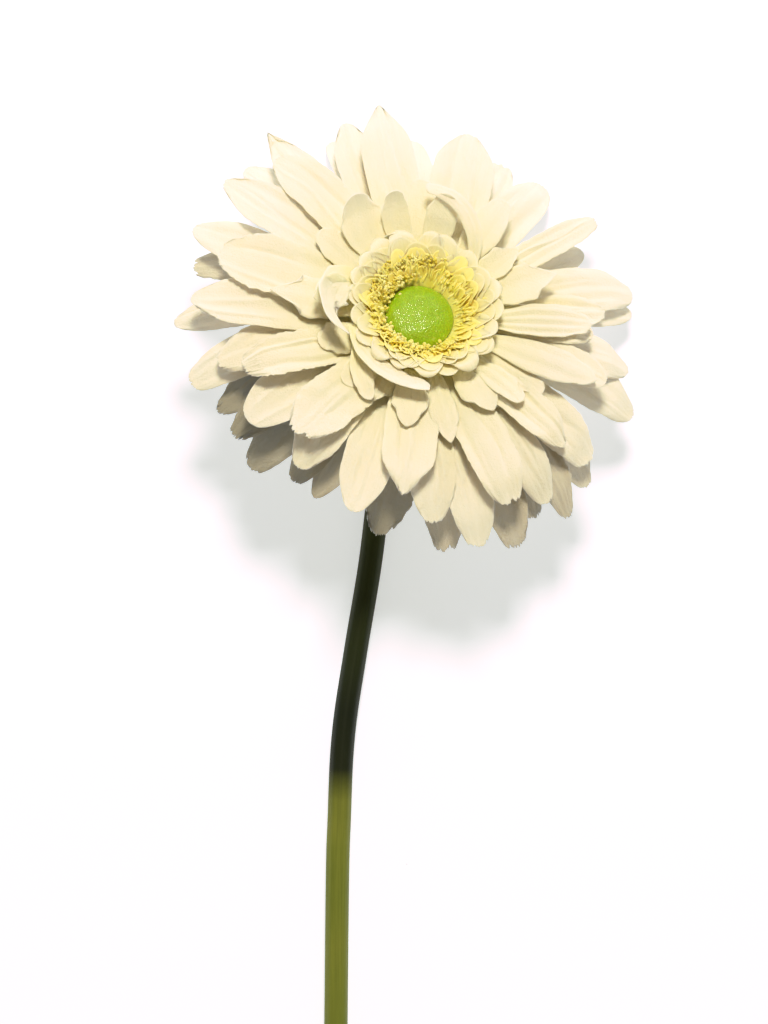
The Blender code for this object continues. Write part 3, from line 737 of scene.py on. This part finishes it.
# %% Stamens
def stamen_finish(name, low, high, depth):
    """Waxy yellow, running from a low to a high colour by a fine noise; its grain is depth (mm) deep."""
    material, tree, shader = new_material(
        name, Roughness=0.5, Specular_IOR_Level=0.3, Subsurface_Weight=0.8, Subsurface_Scale=0.0006,
        Subsurface_Radius=(0.7, 0.8, 1.0))
    place = add_node(tree, "TexCoord").outputs["Object"]
    grain = noise(tree, place, 1500.0, 2.0)
    tinted = ramp(tree, noise(tree, place, 420.0, 2.0), (0.35, low), (0.65, high))
    dress(tree, shader, tinted, grain, depth)
    return material


for name, crowd, finish in (
        ("filaments", filaments, ("filament_yellow", (0.98, 0.80, 0.14), (0.98, 0.88, 0.34), 0.02)),
        ("anthers", anthers, ("anther_gold", (0.74, 0.60, 0.08), (0.97, 0.88, 0.36), 0.05))):
    piece = crowd_mesh(name, from_head(crowd), around=True)
    finish_piece(piece, stamen_finish(*finish), "stamen", "stamen_ring")
    print(name + ":", len(crowd))

# %% [markdown]
# ## The bed of the eye
#
# Between the foot of the frill and the button one looks down on the bed that the florets grow from. A
# thin ring, lathed about the head's axis, lies just over the receptacle and is coloured like them, so
# that no gap between petals shows bare green.

# %% Bed
BED_PROFILE = ((7.6, 0.9), (8.4, 1.7), (9.4, 2.6), (10.6, 3.6), (12.0, 4.9), (13.0, 4.6), (14.0, 0.0),
               (15.5, -3.9))
BED_SIDES, BED_THICKNESS = 120, 0.1


def ring_points(profile, sides):
    """A lathed surface: each (radius, height) of the profile carried once round the upright axis."""
    radius, height = np.array(profile).T
    turn = np.arange(sides) * 2 * np.pi / sides
    return polar(radius[:, None], turn, height[:, None])


bed_grid = ring_points(BED_PROFILE, BED_SIDES)
bed = make_mesh("eye_bed", from_head(bed_grid), grid_faces(*bed_grid.shape[:2], around=True)[:, ::-1])
thicken(bed, BED_THICKNESS)
finish_piece(bed, stamen_finish("bed_yellow", (0.98, 0.78, 0.12), (0.98, 0.84, 0.22), 0.06), "stamen")
print("bed corners:", bed_grid.shape[:2])

# %% [markdown]
# ## The green button
#
# The very middle is a dome of unopened florets, packed like the seeds of a sunflower: each next one
# sits a golden angle further round and a little further out. The dome is a polar grid, and each of its
# points is raised by how near it is to the nearest seed. A glossy coat gives it its many small glints.

# %% Button
BUTTON_RADIUS, BUTTON_RIM, BUTTON_TOP, BUTTON_SEEDS = 8.0, 1.3, 4.6, 1100
BUTTON_SKIRT = ((0.99, 1.0), (0.95, 0.5), (0.6, 0.4), (0.004, 0.4))  # share of the radius, height (mm)
BEAD_SIZE, BEAD_RELIEF = 0.125, 0.10
GOLDEN_ANGLE = math.pi * (3 - math.sqrt(5))


def button_points():
    """Points, and how far each is raised. height = rim + (top - rim) * sqrt(1 - 0.985 (r / R)^2), plus the
    relief times a bell of the distance to the nearest seed in bead sizes, plus a slow swell. Below the rim
    a skirt closes the dome."""
    k = np.arange(BUTTON_SEEDS) + 0.5
    jumble = np.random.default_rng(5).normal(size=(3, BUTTON_SEEDS))
    seed_r = BUTTON_RADIUS * np.sqrt(k / BUTTON_SEEDS) + 0.09 * jumble[0]
    seed_a = k * GOLDEN_ANGLE + 0.09 * jumble[1] / np.maximum(seed_r, 0.5)
    bead = BEAD_SIZE * (1 + 0.25 * jumble[2])
    share = np.linspace(0.004, 1, 110)[:, None]
    spin = np.arange(320) * 2 * np.pi / 320
    x, y = BUTTON_RADIUS * share * np.cos(spin), BUTTON_RADIUS * share * np.sin(spin)
    away = np.full(x.shape, 9.0)
    for sx, sy, size in zip(seed_r * np.cos(seed_a), seed_r * np.sin(seed_a), bead):
        away = np.minimum(away, np.hypot(x - sx, y - sy) / size)
    dome = BUTTON_RIM + (BUTTON_TOP - BUTTON_RIM) * np.sqrt(np.clip(1 - share**2 * 0.985, 0, 1))
    dome = dome + BEAD_RELIEF * bump_at(away, 0, 1.0) * (1.05 - 0.5 * share**4)
    dome = dome + 0.1 * np.sin(1.3 * x + 1) * np.cos(1.1 * y)
    skirt = [np.stack((x[-1] * f, y[-1] * f, 0 * spin + h), -1) for f, h in BUTTON_SKIRT]
    raised = np.concatenate((bump_at(away, 0, 1.2), np.zeros((len(BUTTON_SKIRT), len(spin)))))
    return np.concatenate((np.stack((x, y, dome), -1), np.array(skirt))), raised


def button_finish():
    """Glossy apple green with small pale flecks. The colour is darker between the florets, a painted shade
    in the hollows.
    """
    material, tree, shader = new_material(
        "button_green", Roughness=0.34, Specular_IOR_Level=0.25, Coat_Weight=0.5, Coat_Roughness=0.05,
        Subsurface_Weight=0.3, Subsurface_Scale=0.0010)
    place = add_node(tree, "TexCoord").outputs["Object"]
    # painted shade: darker green in the hollows between the raised florets
    tinted = ramp(tree, own_tint(tree), (0.0, (0.24, 0.38, 0.006)), (0.8, (0.325, 0.49, 0.009)))
    flecks = ramp(tree, noise(tree, place, 900.0, 2.0, 0.6), (0.62, (0, 0, 0)), (0.70, (0.35, 0.35, 0.35)))
    tinted = blend_colours(tree, flecks, tinted, (0.62, 0.70, 0.16))
    dress(tree, shader, tinted, noise(tree, place, 2300.0, 2.0, 0.6), 0.10)
    return material


button_grid, button_raised = button_points()
button_faces = grid_faces(*button_grid.shape[:2], around=True)[:, ::-1]
button = make_mesh("button", from_head(button_grid), button_faces, tint=button_raised)
finish_piece(button, button_finish(), "button", "green_button")
print("button beads:", BUTTON_SEEDS)

# %% [markdown]
# ## Stem and receptacle
#
# The stem is a soft round tube that swells into the cone under the petals. It is a row of rings along a
# path: rings about the head's axis for the cone, then rings square to the path for the stem. The path
# repeats the points that the CAD stem follows. Low ridges run along it, as on a fresh stem, and its far
# end is a clean pale cut.

# %% Stem
STEM_RADIUS, NECK_RADIUS, NECK_LENGTH = 2.84, 3.3, 22.0
STEM_SIDES = 48
# the head's shadow on the stem is painted into its colour over this length
STEM_PAINTED_SHADOW = 150.0  # mm from the cone over which the shade of the head comes and goes
RECEPTACLE = ((12.4, -0.2), (14.6, -3.2), (16.4, -6.0), (16.0, -7.2), (13.2, -9.4), (9.0, -11.6),
              (5.8, -13.6), (4.0, -15.2))
CONE_END = -16.6
NECK_ROUTE = ((-3.6, -9.2, 7.1), (-5.0, -15.0, 3.9))
STEM_ROUTE = ((-7.2, -24), (-9.0, -38), (-11.3, -57), (-14.8, -78), (-17.6, -97), (-18.6, -116),
              (-19.3, -150), (-20.5, -310))
CUT_END = ((0.9, 0.12), (0.55, -0.1), (0.01, -0.25))  # rings of the cut: share of the radius, push (mm)


def curve_through(corner_list, steps):
    """A smooth curve through points: in each span the four nearest points are mixed by cubics."""
    p = np.array(corner_list, float)
    p = np.vstack((2 * p[0] - p[1], p, 2 * p[-1] - p[-2]))
    t = (np.arange(steps) / steps)[None, :, None]
    a, b, c, d = (p[k:len(p) - 3 + k][:, None] for k in range(4))
    span = 0.5 * (2 * b + (c - a) * t + (2 * a - 5 * b + 4 * c - d) * t**2 + (3 * b - a - 3 * c + d) * t**3)
    return np.vstack((span.reshape(-1, 3), p[-2]))


def stem_points():
    """Points, UV and cut, which is 1 on the cut face. Each ring = centre + radius * (cos * sideways + sin *
    upwards), where sideways is level and square to the path."""
    spin = np.arange(STEM_SIDES) * 2 * np.pi / STEM_SIDES
    middle = MIDDLE / MM
    ground = lambda x, y, z: (middle[0] + x, middle[1] + y, z)
    route = [middle + HEAD[2] * CONE_END] + [ground(*place) for place in NECK_ROUTE]
    route += [ground(x, y, STEM_RADIUS) for x, y in STEM_ROUTE]
    path = curve_through(route, 14)
    path[:, 2] = np.maximum(path[:, 2], STEM_RADIUS)
    ahead = np.gradient(path, axis=0)
    fall = np.concatenate(((0,), np.cumsum(np.linalg.norm(np.diff(path, axis=0), axis=1))))
    radius = STEM_RADIUS + (NECK_RADIUS - STEM_RADIUS) * np.clip(1 - fall / NECK_LENGTH, 0, 1)
    cone_r, cone_h = np.array(RECEPTACLE).T
    cone = curve_through(np.stack((cone_r, cone_h, 0 * cone_r), -1), 4)[:, :2]
    centres = np.vstack((middle + cone[:, 1:] * HEAD[2], path))
    ahead = np.vstack((np.tile(-HEAD[2], (len(cone), 1)), ahead))
    radius = np.concatenate((cone[:, 0], radius))
    ahead /= np.linalg.norm(ahead, axis=1, keepdims=True)
    sideways = np.cross((0, 0, 1), ahead)
    sideways /= np.linalg.norm(sideways, axis=1, keepdims=True)
    upwards = np.cross(ahead, sideways)
    run = np.concatenate((np.zeros(len(cone)), fall))
    ridge = 1 - 0.012 * (1 + np.cos(9 * spin + 0.02 * run[:, None])) - 0.006 * (1 + np.cos(23 * spin))
    ring_radius = radius[:, None] * ridge
    points = (centres[:, None] + (ring_radius * np.cos(spin))[..., None] * sideways[:, None]
              + (ring_radius * np.sin(spin))[..., None] * upwards[:, None])
    cap = [centres[-1] + (points[-1] - centres[-1]) * f + ahead[-1] * push for f, push in CUT_END]
    lid = [centres[0] + (points[0] - centres[0]) * f for f in (0.01, 0.6)]
    uv = np.stack(np.broadcast_arrays(spin * STEM_RADIUS, run[:, None]), -1)
    uv = np.concatenate((uv[:2] * (1, 0), uv, uv[-3:]))
    cut = np.zeros(uv.shape[:2])
    cut[-3:] = ((0.35,), (0.8,), (1.0,))
    return np.concatenate((np.array(lid), points, np.array(cap))), uv, cut


def stem_finish():
    """Satin yellow-green with fine lengthwise lines and a soft bloom. Over the stretch where the head's
    shadow falls, its colour is darkened: a painted shadow. The cut face is pale."""
    material, tree, shader = new_material(
        "stem_green", Roughness=0.55, Specular_IOR_Level=0.22, Sheen_Weight=0.08, Sheen_Roughness=0.4)
    own = add_node(tree, "UVMap").outputs[0]
    place = add_node(tree, "TexCoord").outputs["Object"]
    lines = noise(tree, stretched(tree, own, (2.6, 0.05, 1)), 1.0, 3.0)
    cloud = noise(tree, place, 45.0, 3.0)
    tinted = ramp(tree, cloud, (0.3, (0.15, 0.175, 0.020)), (0.7, (0.205, 0.215, 0.030)))
    tinted = tinged(tree, tinted, lines, (0.35, (0.82, 0.84, 0.8)), (0.65, WHITE))
    fallen = sums(tree, "DIVIDE", add_node(tree, "SeparateXYZ", Vector=own).outputs[1], STEM_PAINTED_SHADOW)
    # painted shadow of the head: darker from the cone, darkest near 0.6 of the length, then the stem's own
    # green
    tinted = tinged(tree, tinted, fallen, (0.0, (0.24, 0.27, 0.32)), (0.40, (0.15, 0.18, 0.21)),
                    (0.60, (0.035, 0.05, 0.05)), (0.69, (0.05, 0.065, 0.06)), (0.74, (0.86, 0.86, 0.86)),
                    (0.80, WHITE))
    tinted = blend_colours(tree, own_tint(tree), tinted, (0.50, 0.52, 0.22))
    grain = sums(tree, "MULTIPLY", noise(tree, place, 2600.0, 2.0), 0.4)
    height = sums(tree, "ADD", sums(tree, "MULTIPLY", lines, 0.6), grain)
    dress(tree, shader, tinted, height, 0.08)
    return material


stem_grid, stem_uv, stem_cut = stem_points()
stem_faces = grid_faces(*stem_grid.shape[:2], around=True)[:, ::-1]
stem = make_mesh("stem_tube", stem_grid * MM, stem_faces, stem_uv, stem_cut)
finish_piece(stem, stem_finish(), "stem", "stem")

# %% [markdown]
# ## The bracts
#
# Under the head, narrow green scales overlap in three rows and hold the petals from below. Each scale
# is a small pointed leaf laid along the cup, keeled along its middle. The outer rows are shorter.

# %% Bracts
BRACT_HALF_WIDTH, BRACT_THICKNESS = 2.1, 0.3
BRACT_CUP = ((4.6, -15.6), (6.9, -13.9), (10.2, -11.8), (14.2, -9.6), (16.9, -7.8), (17.6, -5.6))


def bract_row(count, first, last, out, rng):
    """Leaves from first to last along the cup, pushed outwards by out (mm). half-width = the full one *
    sin(pi * (0.12 + 0.87 u)^0.8)^0.8, and the middle is keeled by 0.35 mm."""
    turn = ((np.arange(count) + rng.uniform(-0.2, 0.2, count)) * 2 * np.pi / count)[:, None, None]
    u = np.linspace(0, 1, 14)[None, :, None]
    v = np.linspace(-1, 1, 7)[None, None, :]
    reach = first + (last * rng.uniform(0.93, 1.0, count)[:, None, None] - first) * u
    radius, height = along_profile(BRACT_CUP, reach)
    half = BRACT_HALF_WIDTH * (np.sin(np.pi * (0.12 + 0.87 * u) ** 0.8)) ** 0.8
    lift = out + 0.35 * (1 - v**2) + 0.5 * smooth((u - 0.7) / 0.3) * 0.4
    points = polar(radius + 0.5 * lift, turn + half * v / radius, height - 0.85 * lift)
    return points, np.stack(np.broadcast_arrays(half * v, 12 * u + 20 * turn), -1)


rng = np.random.default_rng(3)
bract_rows = [bract_row(17, 0.30, 1.0, 0.2, rng), bract_row(16, 0.12, 0.82, 0.65, rng),
              bract_row(13, 0.0, 0.56, 1.1, rng)]
bract_points, bract_uv = (np.concatenate(parts) for parts in zip(*bract_rows))


def bract_finish():
    """Matt leaf green, darker and paler by turns in lengthwise lines, with a fine grain."""
    material, tree, shader = new_material(
        "bract_green", Roughness=0.7, Specular_IOR_Level=0.3, Sheen_Weight=0.2)
    own = add_node(tree, "UVMap").outputs[0]
    place = add_node(tree, "TexCoord").outputs["Object"]
    lines = noise(tree, stretched(tree, own, (3.5, 0.2, 1)), 1.0, 2.0)
    tinted = ramp(tree, lines, (0.3, (0.075, 0.115, 0.018)), (0.7, (0.16, 0.21, 0.045)))
    dress(tree, shader, tinted, sums(tree, "ADD", lines, noise(tree, place, 2200.0, 2.0)), 0.1)
    return material


bracts = crowd_mesh("bract_scales", from_head(bract_points), bract_uv)
thicken(bracts, BRACT_THICKNESS)
finish_piece(bracts, bract_finish(), "bract", "bracts")
print("bracts:", len(bract_points))

# %% [markdown]
# ## Camera, light and table
#
# The camera looks straight down on the flower, as one looks down on something laid on a table. One
# large soft lamp stands beyond the head, low enough for petals to shade each other and for the head to
# shade the stem; the stem's colour carries a painted shadow of the head further along. The table is a
# shallow round tray, so that low views see a pale wall behind the flower and no edge; a gentle glow of
# its own keeps its shadows light. Last comes the view: colours are shown as they are worked out, and a
# soft shoulder keeps the brightest cream from burning out.

# %% Camera
SENSOR, LENS = 36.0, 151.2
CAMERA_PLACE = (-8.0, -44.65, 1000.0)  # mm from the head's middle
camera = bpy.data.objects.new("camera", bpy.data.cameras.new("camera"))
camera.data.sensor_width = SENSOR
camera.data.lens = LENS
camera.location = MIDDLE + np.array(CAMERA_PLACE) * MM
camera.rotation_euler = (0, 0, 0)
bpy.context.scene.collection.objects.link(camera)
bpy.context.scene.camera = camera
print("camera (mm)", [round(x / MM, 1) for x in camera.location])


# %% Table
TRAY = ((0.0001, 0), (1.2, 0), (2.4, 0), (2.7, 0.03), (2.9, 0.14), (3.0, 0.35), (3.05, 1.0))  # metres
TRAY_SIDES = 96
tray = ring_points(TRAY, TRAY_SIDES)
table = make_mesh("table", tray, grid_faces(*tray.shape[:2], around=True))
pale, tree, shader = new_material("pale_table", Base_Color=(0.63, 0.71, 0.88, 1), Roughness=0.9,
                                  Emission_Color=(1.0, 0.98, 0.95, 1), Emission_Strength=0.52)
paper = noise(tree, add_node(tree, "TexCoord").outputs["Object"], 300.0, 3.0)
emboss(tree, shader, paper, 0.03)
table.data.materials.append(pale)
print("table:", TRAY[-1][0], "m out to its wall's top")


# %% Lights
KEY_PLACE, KEY_SIZE, KEY_POWER, KEY_COLOUR = (0.05, 0.81, 1.17), 0.30, 21.8, (1.0, 0.94, 0.775)
ROOM_COLOUR, ROOM_STRENGTH = (1.0, 0.89, 0.62, 1), 0.23


def area_light(name, place, size, power, colour):
    """A square soft lamp at a place (m from the head's middle), aimed at the head."""
    data = bpy.data.lights.new(name, "AREA")
    data.energy, data.color, data.size = power, colour, size
    lamp = bpy.data.objects.new(name, data)
    lamp.location = MIDDLE + np.array(place)
    lamp.rotation_mode = "QUATERNION"
    lamp.rotation_quaternion = (-Vector(place)).to_track_quat("-Z", "Y")
    bpy.context.scene.collection.objects.link(lamp)


area_light("key", KEY_PLACE, KEY_SIZE, KEY_POWER, KEY_COLOUR)
world = bpy.data.worlds.new("room")
world.use_nodes = True
background = world.node_tree.nodes["Background"]
background.inputs["Color"].default_value = ROOM_COLOUR
background.inputs["Strength"].default_value = ROOM_STRENGTH
bpy.context.scene.world = world
print("lamp:", KEY_POWER, "W, room:", ROOM_STRENGTH)

# %% View
SHOULDER = (0.40, 0.80)  # up to the second, what is shown stays nearly as it is
WHITEST = (0.975, 0.91, 0.93)  # where red, green and blue end, so that the brightest cream stays warm
film = bpy.context.scene.view_settings
film.view_transform = "Standard"
film.use_curve_mapping = True
for channel, top in enumerate(WHITEST):
    curve = film.curve_mapping.curves[channel]
    curve.points[-1].location = (1.0, top)
    for knee in SHOULDER:
        curve.points.new(knee, knee)
film.curve_mapping.update()
print("view:", film.view_transform, WHITEST)
